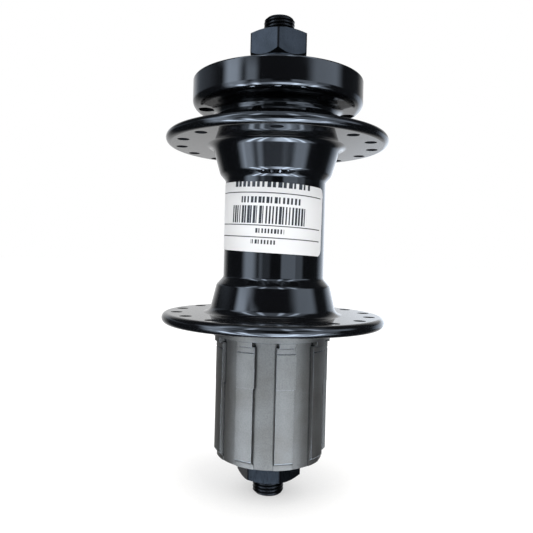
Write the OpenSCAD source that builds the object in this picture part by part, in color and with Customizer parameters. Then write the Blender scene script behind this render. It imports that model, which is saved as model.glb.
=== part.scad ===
// Rear bicycle hub for a disc brake and a splined cassette, standing on its drive-side axle end.
// The origin is on the axle, half way between the locknut faces. +Z points to the disc side.
// Azimuths are measured from -Y towards +X, seen with +Z up.

/* [Fit in the frame] */
// Distance between the outer faces of the two locknuts
over_locknut = 135; // [131:0.5:142]
// Length of axle that stands out past each locknut
axle_stub = 5.5; // [4:0.5:8]
// Distance from the disc-side locknut face in to the rotor seat
rotor_offset = 14.4; // [14:0.1:16]
// Distance from the drive-side locknut face in to the end of the freehub body
freehub_inset = 6.8; // [6:0.1:8]

/* [Axle] */
// Diameter of the axle over its thread
axle_d = 9.9; // [9.4:0.05:10]
// Diameter of the axle ends that drop into the frame
stub_d = 9.5; // [9.2:0.05:9.5]
// Diameter of the plain middle of the axle
axle_waist_d = 9; // [8.4:0.1:9.3]
// Diameter of the hole for the quick-release skewer
axle_bore_d = 5.2; // [5:0.1:6]
// Chamfer at each end of the axle
axle_chamfer = 0.7; // [0.3:0.1:1]

/* [Locknuts, washers and spacers] */
// Size of the locknuts across their flats
locknut_af = 17; // [16:0.5:18]
// Height of the disc-side locknut
disc_nut_h = 7.7; // [6:0.1:8.5]
// Height of the drive-side locknut
drive_nut_h = 5.8; // [4.5:0.1:6.2]
// Azimuth of one corner of the disc-side locknut, in degrees
disc_nut_turn = -1.5; // [-30:0.5:30]
// Azimuth of one corner of the drive-side locknut, in degrees
drive_nut_turn = 21; // [-30:0.5:30]
// Thickness of the washer under each locknut
washer_t = 1; // [0.6:0.1:1.5]
// Diameter of the washers
washer_d = 17.2; // [15:0.1:17.6]
// Diameter of the spacers between cones and locknuts
spacer_d = 17.2; // [15:0.1:17.6]

/* [Main bearings] */
// Number of balls on each side of the axle
ball_count = 9; // [7:1:9]
// Diameter of the balls on the axle
ball_d = 6.35; // [5.8:0.05:6.4]
// Diameter of the circle through the ball centres
ball_circle_d = 18.9; // [18.8:0.05:19.2]
// Distance from the rotor seat in to the disc-side ball centres
disc_ball_depth = 7.1; // [6.4:0.1:7.5]
// Distance from the end of the freehub body in to the drive-side ball centres
drive_ball_depth = 8.7; // [8.2:0.1:9.2]
// Wall of the disc-side bearing cup outside its race
disc_cup_wall = 1.13; // [1:0.01:1.4]
// Wall of the drive-side bearing cup outside its race
drive_cup_wall = 0.93; // [0.8:0.01:1.1]
// Size of the cones across their flats
cone_af = 15; // [14:0.5:16]
// Diameter of the shoulder of the cones, behind the race
cone_shoulder_d = 18.4; // [18:0.1:18.6]
// Diameter of the outer part of the cones
cone_d = 17.2; // [16.4:0.1:17.6]

/* [Hub shell] */
// Diameter of the spoke flanges
flange_d = 67.8; // [64:0.1:72]
// Thickness of the spoke flanges
flange_t = 3.2; // [2.6:0.1:3.6]
// Distance from the rotor seat to the outer face of the disc-side spoke flange
flange_offset = 16.7; // [15.5:0.1:19]
// Number of spoke holes in each flange
spokes_per_flange = 16; // [12:1:18]
// Distance from the rim of a flange in to the centres of its spoke holes
spoke_margin = 4.5; // [3.6:0.1:5]
// Diameter of the spoke holes
spoke_hole_d = 3; // [2.4:0.1:3.4]
// Depth of the countersink at each end of a spoke hole
spoke_sink = 0.3; // [0.2:0.1:0.6]
// Distance from the rim of the rotor mount in to the centres of its bolt holes
mount_margin = 4.1; // [3.4:0.1:6]
// Thickness of the rotor mount
mount_t = 9; // [7.5:0.1:10]
// Radius of the rounded lip below the rotor mount
mount_lip = 2.6; // [1:0.1:3.5]
// Number of rotor bolt holes
rotor_bolts = 6; // [4:1:6]
// Diameter of the circle through the rotor bolt holes
rotor_circle_d = 44; // [43:0.1:45]
// Diameter of the rotor bolt holes, before the M5 thread
rotor_hole_d = 4.2; // [4:0.1:5]
// Azimuth of the first rotor bolt hole, in degrees
rotor_turn = 37.5; // [0:0.5:60]
// Wall between the rotor bolt holes and the neck below the rotor mount
neck_margin = 1.4; // [0.4:0.1:2]
// Diameter of the middle tube
tube_d = 30.8; // [28:0.1:32]
// Bore of the middle tube
tube_bore_d = 23; // [21:0.5:25]
// Length of the cone inboard of the disc-side flange
disc_cone_l = 8.9; // [6:0.1:12]
// Diameter of that cone at the flange
disc_cone_root_d = 39.4; // [37:0.1:42]
// Diameter of that cone at its small end
disc_cone_tip_d = 34.2; // [33:0.1:36]
// Length of the cone inboard of the drive-side flange
drive_cone_l = 8.8; // [6:0.1:12]
// Diameter of that cone at the flange
drive_cone_root_d = 39; // [37:0.1:42]
// Diameter of that cone at its small end
drive_cone_tip_d = 34.8; // [33:0.1:36]
// Radius of the fillets between the flanges and the cones
root_fillet = 2.7; // [1:0.1:3.2]

/* [Freehub body] */
// Wall of the freehub body between its bore and the spline valleys
body_wall = 1.425; // [1.3:0.025:1.6]
// Height of the spline ridges over the valleys
ridge_h = 1.2; // [1:0.05:1.3]
// Width of a spline ridge
ridge_w = 5.7; // [5:0.1:6.6]
// Amount by which the one keyed ridge is narrower
key_narrowing = 1.4; // [0.8:0.1:1.6]
// Length of the spline valleys down to the end of the ridges
spline_l = 34.7; // [32:0.1:35.5]
// Length of the plain ring past the ridges
end_ring_l = 1.4; // [1:0.1:3]
// Height of the plain ring past the ridges over the valleys
end_ring_h = 0.2; // [0.1:0.05:0.5]
// Height of the collar at the flange end over the ridges
collar_h = 0.85; // [0.3:0.05:1.2]
// Length of the collar
collar_l = 2.9; // [2.4:0.1:3.6]
// Azimuth of the first ridge, in degrees
ridge_turn = 14.8; // [-20:0.1:20]
// Distance from the valley tops to the step in the flank of each ridge
ridge_step_at = 13.2; // [8:0.1:16]
// Depth of that step in the flank
ridge_step_w = 0.35; // [0.2:0.05:1]
// Height of the blocks that close the ridges under the collar
block_h = 1.4; // [1:0.1:1.8]
// Width of the relief pocket beside each block
relief_w = 0.55; // [0.2:0.05:0.8]
// Depth of the lockring thread's crests in the bore of the freehub body
lockring_h = 0.175; // [0.1:0.025:0.25]
// Length of the lockring thread
lockring_l = 9; // [7:0.1:9.5]

/* [Ratchet and pawls] */
// Number of ratchet teeth
teeth = 24; // [12, 24]
// Depth of the ratchet teeth
tooth_depth = 1.2; // [0.8:0.1:1.3]
// Share of the tooth pitch that is the ramp
tooth_ramp = 0.7; // [0.6:0.01:0.74]
// Length of a pawl between its pivot and its tip
pawl_l = 6.2; // [5.6:0.1:6.6]
// Width of a pawl along the axle
pawl_w = 8; // [6:0.1:9]
// Radius of the round heel of a pawl
pawl_heel_r = 1.45; // [1.2:0.05:1.5]
// Thickness of a pawl at its tip
pawl_tip_t = 1.7; // [1.3:0.1:2]
// Distance of the pawl pivots inside the tips of the ratchet teeth
pawl_inset = 1.8; // [1.7:0.05:2]
// Azimuth of the first pawl pivot, in degrees
pawl_turn = 90; // [0:15:345]
// Angle by which a pawl can be pressed in past the tooth tips, in degrees
pawl_spare = 1.5; // [1:0.1:2]
// Thickness of the wire of the pawl spring
spring_wire_d = 0.7; // [0.5:0.05:0.8]

/* [Freehub bearings] */
// Number of balls in each of the two freehub rows
small_ball_count = 25; // [20:1:25]
// Diameter of the freehub balls
small_ball_d = 3.175; // [3:0.025:3.2]
// Radial gap between the drive-side bearing cup and the bore of the freehub body
cup_gap = 1.03; // [0.95:0.01:1.2]
// Distance from the inner end of the freehub body to the inner row of balls
inner_row_depth = 5.5; // [5.2:0.1:6]
// Distance from the drive-side balls in to the outer row of freehub balls
row_to_balls = 5.6; // [5.4:0.1:6]

/* [Fits] */
// Radial gap between turning parts and the balls
running_gap = 0.04; // [0.03:0.01:0.06]
// Radial gap of screwed and pressed parts
seat_gap = 0.03; // [0.02:0.01:0.05]
// Gap between the freehub body and the spoke flange
body_gap = 0.7; // [0.5:0.1:1]
// Gap between the dust caps and the cones
dust_gap = 0.3; // [0.2:0.05:0.4]

/* [Hidden] */
$fn = 96;
cut = 1;

// Stations along the axle, from the disc side down
disc_end = over_locknut / 2;
drive_end = -disc_end;
rotor_z = disc_end - rotor_offset;
mount_under_z = rotor_z - mount_t;
disc_ball_z = rotor_z - disc_ball_depth;
disc_flange_z = rotor_z - flange_offset;
body_end_z = drive_end + freehub_inset;
ridge_end_z = body_end_z + end_ring_l;
valley_top_z = ridge_end_z + spline_l;
body_start_z = valley_top_z + collar_l;
drive_flange_z = body_start_z + body_gap;
drive_ball_z = body_end_z + drive_ball_depth;
inner_row_z = body_start_z - inner_row_depth;
outer_row_z = drive_ball_z + row_to_balls;

// Bearings on the axle, seen along the axle from the ball centres outwards
ball_r = ball_d / 2;
ball_pitch_r = ball_circle_d / 2;
race_r = ball_r + running_gap;
raceway_r = ball_pitch_r + race_r;
cup_floor = race_r + 1.8;
cup_mouth_r = ball_pitch_r - 1.25;
cone_nose = 1.6;
cone_back = 4.4;
cone_out = 7;
cone_flats_at = cone_back + 0.8;
boot_lip_at = cone_back + 1.8;
boot_gap = 0.1;
cap_flange_at = ball_r + 0.2;
cap_flange_t = 0.8;
cap_skirt_at = 2.6;
cap_skirt_t = 0.8;
far = 20;
thread_r = axle_d / 2 + seat_gap;
disc_cup_r = raceway_r + disc_cup_wall;
drive_cup_r = raceway_r + drive_cup_wall;
boot_lip_r = disc_cup_r - 2;

// Freehub rows
small_r = small_ball_d / 2;
small_race_r = small_r + running_gap;
body_bore_r = drive_cup_r + cup_gap;
small_pitch_r = body_bore_r - small_race_r;
race_neck_r = small_pitch_r - small_race_r;

// Radii of the freehub body, from its bore outwards
valley_r = body_bore_r + body_wall;
ridge_r = valley_r + ridge_h;
collar_r = ridge_r + collar_h;
end_ring_r = valley_r + end_ring_h;
lockring_r = body_bore_r + lockring_h;

// Radii of the hub shell that follow its holes and the cup
spoke_circle_r = flange_d / 2 - spoke_margin;
mount_r = rotor_circle_d / 2 + mount_margin;
neck_r = rotor_circle_d / 2 - rotor_hole_d / 2 - neck_margin;

// Numbers that the cassette standard and the three named pawls fix
ridges = 9;
keyed_ridge = 4;
pawls = 3;

// Ratchet, pawls and the core that carries them
tooth_tip_r = small_pitch_r;
pawl_pivot_r = tooth_tip_r - pawl_inset;
tooth_root_r = tooth_tip_r + tooth_depth;
shoulder_gap = 0.2;
core_gap = 0.6;
core_wall = 0.4;
core_end_wall = 1.2;
shoulder_r = tooth_tip_r + shoulder_gap;
core_r = tooth_tip_r - core_gap;
core_flange_r = small_pitch_r - core_wall;
core_shank_z = inner_row_z - small_race_r - core_wall;
core_end_z = outer_row_z + small_race_r + core_end_wall;
pawl_mid_z = (core_shank_z + core_end_z) / 2;
ratchet_w = pawl_w + 1;
pawl_side_gap = 0.05;
pawl_back_sink = 0.3;
pawl_back_share = 0.85;
ride_gap = 0.08;
root_gap = 0.25;
tip_ride_r = tooth_tip_r - ride_gap;
tip_deep_r = tooth_root_r - root_gap;
deep_lean = pawl_lean(tip_deep_r);
pawl_travel = deep_lean - pawl_lean(tip_ride_r);
tip_deep_angle = tip_angle(tip_deep_r);
face_gap = 0.4;
pawl_gap = 0.15;
slot_floor = -0.1;
slot_w = spring_wire_d + 0.5;
spring_sink = 0.05;
spring_r = core_r - spring_sink - spring_wire_d / 2;
spring_groove = spring_wire_d + 0.1;
spring_arc = 335;
spring_turn = pawl_turn + 70;

// Fixing bolt and its seat
bolt_bore_r = axle_d / 2 + 0.35;
bolt_r = bolt_bore_r + 1.7;
bolt_head_r = bolt_r + 0.9;
bolt_head_l = 6.5;
bolt_key_af = 2 * bolt_bore_r - 0.4;
bolt_reach = 9.5;
bolt_seat_z = inner_row_z - 1;
bolt_gap = 0.15;
bolt_key_floor = 1;
bolt_run_out = 2;
core_bore_r = bolt_head_r + 0.7;
core_thread_r = core_bore_r + 1.3;
core_thread_l = 3.1;
core_thread_end_gap = 0.2;
shim_t = 0.5;
shim_r = core_r - 0.9;
plug_l = 3.5;
plug_end_gap = 0.2;
plug_teeth = 12;
plug_tooth_w = 2.6;
plug_root_r = bolt_r + 3.2;
plug_tip_r = plug_root_r + 0.8;

// Seal at the inner end of the freehub body
seal_t = 2;
seal_sink = 0.4;
seal_gap = 0.12;

// Small edges, fillets and steps
edge_break = 0.5;
nut_face_sink = 0.1;
waist_margin = 1;
stub_start = 0.2;
mouth_chamfer = 1.2;
rim_r = flange_t / 2;
neck_fillet = 2;
groove_depth = 0.2;
groove_w = 0.35;
groove_at = 3;
ridge_chamfer = 0.9;
ridge_relief = 0.05;
block_sink = 0.2;
lockring_chamfer = 0.6;

// Turns its children, drawn with the radius along X and the axle along Y, about the axle
module turned() rotate_extrude() children();

// Rectangle between two radii and two stations of a turned part
module band(r0, r1, z0, z1) translate([r0, min(z0, z1)]) square([r1 - r0, abs(z1 - z0)]);

// What lies between a square corner at (r, z) and an arc of radius rad, on the side (sr, sz)
module corner(r, z, rad, sr, sz) {
    translate([r + (sr < 0 ? -rad : 0), z + (sz < 0 ? -rad : 0)])
        difference() {
            square(rad);
            translate([sr < 0 ? 0 : rad, sz < 0 ? 0 : rad]) circle(rad);
        }
}

// Puts a part drawn outwards along +Z on the disc side (1) or the drive side (-1)
module outwards(z, side) {
    translate([0, 0, z])
        if (side > 0) children();
        else mirror([0, 0, 1]) children();
}

// Turns a part drawn at +X to an azimuth
module at_azimuth(angle) rotate([0, 0, angle - 90]) children();

// A row of loose balls
module ball_row(count, pitch_r, r, z) {
    for (k = [0 : count - 1])
        rotate([0, 0, (k + 0.5) * 360 / count]) translate([pitch_r, 0, z]) sphere(r);
}

module axle() {
    half = disc_end + axle_stub;
    stub_z = disc_end + stub_start;
    r = axle_d / 2;
    stub_r = min(stub_d / 2, r);
    waist_r = axle_waist_d / 2;
    waist_top = disc_ball_z - cone_nose - waist_margin;
    waist_bottom = drive_ball_z + cone_nose + waist_margin;
    color("#141517") difference() {
        turned() polygon([[0, half], [stub_r - axle_chamfer, half], [stub_r, half - axle_chamfer],
                          [stub_r, stub_z], [r, stub_z], [r, waist_top], [waist_r, waist_top],
                          [waist_r, waist_bottom], [r, waist_bottom], [r, -stub_z],
                          [stub_r, -stub_z], [stub_r, axle_chamfer - half],
                          [stub_r - axle_chamfer, -half], [0, -half]]);
        translate([0, 0, -half - cut]) cylinder(d = axle_bore_d, h = 2 * (half + cut));
    }
}

// Hexagon nut, chamfered less at its outer face than at its inner one, from that face inwards
module locknut(height) {
    corner_r = locknut_af / sqrt(3);
    face_r = locknut_af / 2 - nut_face_sink;
    drop = (corner_r - face_r) * tan(22);
    rise = corner_r - face_r;
    difference() {
        intersection() {
            translate([0, 0, -height]) cylinder(r = corner_r, h = height, $fn = 6);
            turned() polygon([[0, 0], [face_r, 0], [corner_r, -drop], [corner_r, rise - height],
                              [face_r, -height], [0, -height]]);
        }
        translate([0, 0, -height - cut]) cylinder(r = thread_r, h = height + 2 * cut);
    }
}

module disc_locknut() color("#23262b")
    outwards(disc_end, 1) at_azimuth(disc_nut_turn) locknut(disc_nut_h);

module drive_locknut() color("#23262b")
    outwards(drive_end, -1) at_azimuth(drive_nut_turn) locknut(drive_nut_h);

// Bearing cone, from the ball centres outwards, with two flats for a spanner
module cone() {
    difference() {
        turned() difference() {
            union() {
                band(thread_r, cone_shoulder_d / 2, -cone_nose, cone_back);
                band(thread_r, cone_d / 2, cone_back - cut, cone_out);
            }
            translate([ball_pitch_r, 0]) circle(race_r);
            band(ball_pitch_r - race_r, raceway_r, -cone_nose - cut, 0);
        }
        for (s = [-1, 1])
            translate([s * (cone_af / 2 + 2 * cut), 0, cone_flats_at + cone_out / 2])
                cube([4 * cut, cone_d + cut, cone_out], center = true);
    }
}

module disc_cone() color("#8d9094") outwards(disc_ball_z, 1) cone();

module drive_cone() color("#8d9094") outwards(drive_ball_z, -1) cone();

module disc_cone_boot() color("#1b1b1c")
    outwards(disc_ball_z, 1) turned() {
        band(cone_shoulder_d / 2 + seat_gap, disc_cup_r - dust_gap,
             cap_flange_at + cap_flange_t + boot_gap, cone_flats_at);
        band(cone_d / 2 + seat_gap, boot_lip_r, cone_back + seat_gap, boot_lip_at);
    }

// Flat washer that lies just inside a locknut
module washer(nut_h) turned() band(thread_r, washer_d / 2, -nut_h - washer_t, -nut_h);

module disc_washer() color("#2a2c30") outwards(disc_end, 1) washer(disc_nut_h);

module drive_washer() color("#2a2c30") outwards(drive_end, -1) washer(drive_nut_h);

module disc_spacer() color("#1d1f22")
    turned() band(thread_r, spacer_d / 2, disc_ball_z + cone_out, disc_end - disc_nut_h - washer_t);

module drive_spacer() color("#1d1f22")
    turned() band(thread_r, spacer_d / 2, drive_end + drive_nut_h + washer_t,
                  drive_ball_z - cone_out);

// Rotor mount with its rounded lip, and the neck that joins it to the disc-side flange
module shell_mount() {
    turned() difference() {
        band(0, mount_r, mount_under_z, rotor_z);
        corner(mount_r, mount_under_z, mount_lip, -1, 1);
        polygon([[mount_r - edge_break, rotor_z], [mount_r + cut, rotor_z + cut],
                 [mount_r + cut, rotor_z - edge_break - cut], [mount_r, rotor_z - edge_break]]);
    }
    turned() band(0, neck_r, disc_flange_z - cut, mount_under_z + cut);
    turned() corner(neck_r, mount_under_z, neck_fillet, 1, -1);
    turned() corner(neck_r, disc_flange_z, neck_fillet, 1, 1);
}

// Spoke flange with a round rim, seen from its inner face, which faces +Z
module shell_flange() {
    turned() band(0, flange_d / 2 - rim_r, -flange_t, 0);
    turned() translate([flange_d / 2 - rim_r, -rim_r]) circle(rim_r);
}

// Cone that runs from the inner face of a flange down to the tube, drawn towards +Z, with a
// fillet at its root that is tangent to both
module shell_cone(root_r, tip_r, length) {
    tube_r = tube_d / 2;
    slope = (root_r - tip_r) / length;
    lean = sqrt(1 + slope * slope);
    fillet_r = root_r + root_fillet * (lean - slope);
    touch_r = fillet_r - root_fillet / lean;
    touch_z = root_fillet - root_fillet * slope / lean;
    turned() polygon([[0, -cut], [root_r, -cut], [root_r, 0], [tip_r, length],
                      [tube_r, length + tip_r - tube_r], [0, length + tip_r - tube_r]]);
    turned() difference() {
        polygon([[touch_r - cut, -cut], [fillet_r, -cut], [fillet_r, 0], [touch_r, touch_z],
                 [touch_r - cut, touch_z]]);
        translate([fillet_r, root_fillet]) circle(root_fillet);
    }
}

module shell_body() {
    disc_in_z = disc_flange_z - flange_t;
    drive_in_z = drive_flange_z + flange_t;
    shell_mount();
    turned() band(0, tube_d / 2, drive_in_z, disc_in_z);
    outwards(disc_in_z, -1) {
        shell_flange();
        shell_cone(disc_cone_root_d / 2, disc_cone_tip_d / 2, disc_cone_l);
    }
    outwards(drive_in_z, 1) {
        shell_flange();
        shell_cone(drive_cone_root_d / 2, drive_cone_tip_d / 2, drive_cone_l);
    }
}

// Hollow of the shell: the cup's seat, the tube, and the thread of the fixing bolt
module shell_hollow() {
    cup_seat_z = disc_ball_z - cup_floor;
    thread_top_z = drive_flange_z + plug_l + bolt_reach + bolt_run_out;
    seat_r = disc_cup_r + seat_gap;
    turned() band(0, tube_bore_d / 2, thread_top_z, cup_seat_z + cut);
    turned() band(0, seat_r, cup_seat_z, rotor_z + cut);
    turned() polygon([[0, rotor_z - mouth_chamfer], [seat_r, rotor_z - mouth_chamfer],
                      [seat_r + mouth_chamfer, rotor_z], [seat_r + mouth_chamfer, rotor_z + cut],
                      [0, rotor_z + cut]]);
    turned() band(0, bolt_r + seat_gap, drive_flange_z - cut, thread_top_z + cut);
}

// Cross section of the toothed plug that joins the core to the shell
module plug_section(grow) {
    circle(plug_root_r + grow);
    intersection() {
        circle(plug_tip_r + grow);
        union() for (k = [0 : plug_teeth - 1])
            rotate(k * 360 / plug_teeth) translate([0, -plug_tooth_w / 2 - grow])
                square([plug_tip_r + cut, plug_tooth_w + 2 * grow]);
    }
}

// Hole for one spoke, with a countersink at each end
module spoke_hole(top_z) {
    r = spoke_hole_d / 2;
    translate([0, 0, top_z - flange_t - cut]) cylinder(r = r, h = flange_t + 2 * cut);
    translate([0, 0, top_z - spoke_sink]) cylinder(r1 = r, r2 = r + 2 * spoke_sink, h = 2 * spoke_sink);
    translate([0, 0, top_z - flange_t - spoke_sink])
        cylinder(r1 = r + 2 * spoke_sink, r2 = r, h = 2 * spoke_sink);
}

module hub_shell() {
    pitch = 360 / spokes_per_flange;
    color("#0d0d0f") difference() {
        shell_body();
        shell_hollow();
        translate([0, 0, drive_flange_z - cut])
            linear_extrude(plug_l + cut + plug_end_gap) plug_section(seat_gap);
        for (k = [0 : spokes_per_flange - 1]) {
            at_azimuth(k * pitch) translate([spoke_circle_r, 0, 0]) spoke_hole(disc_flange_z);
            at_azimuth((k + 0.5) * pitch) translate([spoke_circle_r, 0, 0])
                spoke_hole(drive_flange_z + flange_t);
        }
        for (k = [0 : rotor_bolts - 1])
            at_azimuth(rotor_turn + k * 360 / rotor_bolts)
                translate([rotor_circle_d / 2, 0, mount_under_z - cut])
                    cylinder(d = rotor_hole_d, h = mount_t + 2 * cut);
    }
}

// Void of a bearing cup: the raceway and what lies outboard of it
module raceway() {
    translate([ball_pitch_r, 0]) circle(race_r);
    band(0, ball_pitch_r, -race_r, far);
    band(0, raceway_r, 0, far);
}

module disc_bearing_cup() color("#8d9094")
    outwards(disc_ball_z, 1) turned() difference() {
        band(cup_mouth_r, disc_cup_r, -cup_floor, cap_skirt_at);
        raceway();
    }

module disc_dust_cap() color("#3a3c40")
    outwards(disc_ball_z, 1) turned() {
        band(disc_cup_r - cap_skirt_t, disc_cup_r, cap_skirt_at, cap_flange_at + cap_flange_t);
        band(cone_shoulder_d / 2 + dust_gap, disc_cup_r, cap_flange_at, cap_flange_at + cap_flange_t);
    }

module freehub_fixing_bolt() {
    head_z = bolt_seat_z - bolt_head_l;
    tip_z = drive_flange_z + plug_l + bolt_reach;
    color("#77797c") difference() {
        turned() difference() {
            union() {
                band(0, bolt_r, bolt_seat_z - cut, tip_z);
                band(0, bolt_head_r, head_z, bolt_seat_z);
            }
            band(-cut, bolt_bore_r, head_z - cut, tip_z + cut);
        }
        translate([0, 0, head_z - cut])
            cylinder(r = bolt_key_af / sqrt(3), h = bolt_head_l - bolt_key_floor + cut, $fn = 6);
    }
}

// Point at a radius and an angle
function polar(r, a) = [r * cos(a), r * sin(a)];

// Lean of a pawl whose tip is at radius r, and the angle of that tip from the pivot's radius
function pawl_lean(r) = asin((r * r - pawl_pivot_r * pawl_pivot_r - pawl_l * pawl_l)
                             / (2 * pawl_pivot_r * pawl_l));
function tip_angle(r) = -atan2(pawl_l * cos(pawl_lean(r)), pawl_pivot_r + pawl_l * sin(pawl_lean(r)));

// Point p turned by an angle about the pivot of a pawl
function about_pivot(p, a) = [
    pawl_pivot_r + (p[0] - pawl_pivot_r) * cos(a) - p[1] * sin(a),
    (p[0] - pawl_pivot_r) * sin(a) + p[1] * cos(a)];

// The two corners of a pawl's end face, its tip sunk in a tooth space
function pawl_tip() = polar(tip_deep_r, tip_deep_angle);
function pawl_tip_in() = about_pivot(pawl_tip(), -pawl_tip_t / pawl_l * 180 / PI);

// Pawl with its tip sunk in a tooth space, pivot on +X, tip towards -Y
module pawl_outline() {
    pivot = [pawl_pivot_r, 0];
    side = polar(pawl_heel_r, deep_lean);
    back = polar(tooth_tip_r - pawl_back_sink,
                 tip_deep_angle + pawl_back_share * tooth_ramp * 360 / teeth);
    translate(pivot) circle(pawl_heel_r);
    polygon([pawl_tip(), back, pivot + side, pivot - side, pawl_tip_in()]);
}

// Pocket in the core for one pawl, open to the outside
module pawl_pocket() {
    low_in = about_pivot(pawl_tip_in(), -pawl_travel - pawl_spare);
    wall_y = -pawl_l - pawl_gap;
    translate([pawl_pivot_r, 0]) circle(pawl_heel_r + seat_gap);
    polygon([[pawl_pivot_r, 0], [pawl_pivot_r - pawl_heel_r - seat_gap, 0],
             [low_in[0] - pawl_gap, wall_y], [core_r + cut, wall_y],
             [core_r + cut, -pawl_heel_r / 2]]);
}

module at_pawl(k) at_azimuth(pawl_turn + k * 360 / pawls) children();

module freehub_core() {
    color("#6f7174") difference() {
        turned() difference() {
            union() {
                band(0, core_flange_r, inner_row_z, drive_flange_z);
                band(0, race_neck_r, core_shank_z - cut, inner_row_z + cut);
                band(0, core_r, core_end_z, core_shank_z);
                band(0, core_thread_r, core_end_z - core_thread_l, core_end_z + cut);
            }
            translate([small_pitch_r, inner_row_z]) circle(small_race_r);
            band(0, bolt_r + bolt_gap, bolt_seat_z - cut, drive_flange_z + cut);
            band(0, core_bore_r, core_end_z - core_thread_l - cut, bolt_seat_z);
            band(core_r - spring_groove, core_r + cut, pawl_mid_z - slot_w / 2, pawl_mid_z + slot_w / 2);
        }
        for (k = [0 : pawls - 1])
            at_pawl(k) translate([0, 0, pawl_mid_z - pawl_w / 2 - pawl_side_gap])
                linear_extrude(pawl_w + 2 * pawl_side_gap) pawl_pocket();
    }
    color("#6f7174") difference() {
        translate([0, 0, drive_flange_z - cut]) linear_extrude(plug_l + cut) plug_section(0);
        translate([0, 0, drive_flange_z - 2 * cut]) cylinder(r = bolt_r + bolt_gap, h = plug_l + 3 * cut);
    }
}

// Pawl at rest, with its tip riding on the tooth tips, and slotted for the spring
module pawl(k) {
    color("#55585c") at_pawl(k)
        translate([pawl_pivot_r, 0, 0]) rotate([0, 0, -pawl_travel]) translate([-pawl_pivot_r, 0, 0])
            difference() {
                translate([0, 0, pawl_mid_z - pawl_w / 2]) linear_extrude(pawl_w) pawl_outline();
                translate([pawl_pivot_r, 0, pawl_mid_z]) rotate([0, 0, pawl_travel]) {
                    translate([slot_floor, -2 * pawl_l, -slot_w / 2])
                        cube([pawl_l, 4 * pawl_l, slot_w]);
                    translate([-pawl_l, -2 * pawl_l, -slot_w / 2])
                        cube([2 * pawl_l, 2 * pawl_l - pawl_heel_r, slot_w]);
                }
            }
}

module pawl_a() pawl(0);

module pawl_b() pawl(1);

module pawl_c() pawl(2);

module pawl_spring() color("#9a9c9f")
    at_azimuth(spring_turn) translate([0, 0, pawl_mid_z])
        rotate_extrude(angle = spring_arc) translate([spring_r, 0]) circle(d = spring_wire_d);

module race_shim() color("#8d9094")
    turned() band(core_thread_r + seat_gap, shim_r, core_end_z - shim_t, core_end_z);

// Cup that screws on the core: freehub race on its inner side, axle race on its outer side
module drive_bearing_cup() color("#8d9094")
    turned() difference() {
        band(cup_mouth_r, drive_cup_r, drive_ball_z - cap_flange_at - cap_flange_t, core_end_z - shim_t);
        translate([ball_pitch_r, drive_ball_z]) circle(race_r);
        band(0, ball_pitch_r, drive_ball_z - far, drive_ball_z + race_r);
        band(0, raceway_r, drive_ball_z - far, drive_ball_z);
        band(0, core_thread_r + seat_gap, core_end_z - core_thread_l - core_thread_end_gap,
             core_end_z + cut);
        translate([small_pitch_r, outer_row_z]) circle(small_race_r);
        band(race_neck_r, drive_cup_r + cut, outer_row_z, core_end_z + cut);
    }

module drive_dust_cap() color("#3a3c40")
    outwards(drive_ball_z, -1) turned() {
        band(raceway_r - seat_gap - cap_skirt_t, raceway_r - seat_gap, cap_flange_at,
             cap_flange_at + cap_flange_t);
        band(cone_shoulder_d / 2 + dust_gap, raceway_r - seat_gap, cap_flange_at,
             cap_flange_at + cap_flange_t);
    }

// Cross section of the cassette spline, with ridges of a given radius and width
module spline_section(r, width, step) {
    circle(valley_r);
    intersection() {
        circle(r);
        union() for (k = [0 : ridges - 1]) {
            w = width - (k == keyed_ridge ? key_narrowing : 0);
            rotate(ridge_turn - 90 + k * 360 / ridges)
                translate([0, -w / 2]) square([r + cut, w - step]);
        }
    }
}

// Void inside the ratchet teeth. Each tooth has a long ramp, a land, and a face that leans
// along the path of a pawl's tip
module ratchet_section() {
    pitch = 360 / teeth;
    face_root = tip_angle(tooth_root_r) - face_gap;
    face_tip = tip_angle(tooth_tip_r) - face_gap;
    tooth = [[tooth_root_r, face_root], [tooth_tip_r, face_root + tooth_ramp * pitch],
             [tooth_tip_r, face_tip + pitch]];
    polygon([for (k = [0 : teeth - 1], p = tooth) polar(p[0], pawl_turn - 90 + p[1] + k * pitch)]);
}

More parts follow.
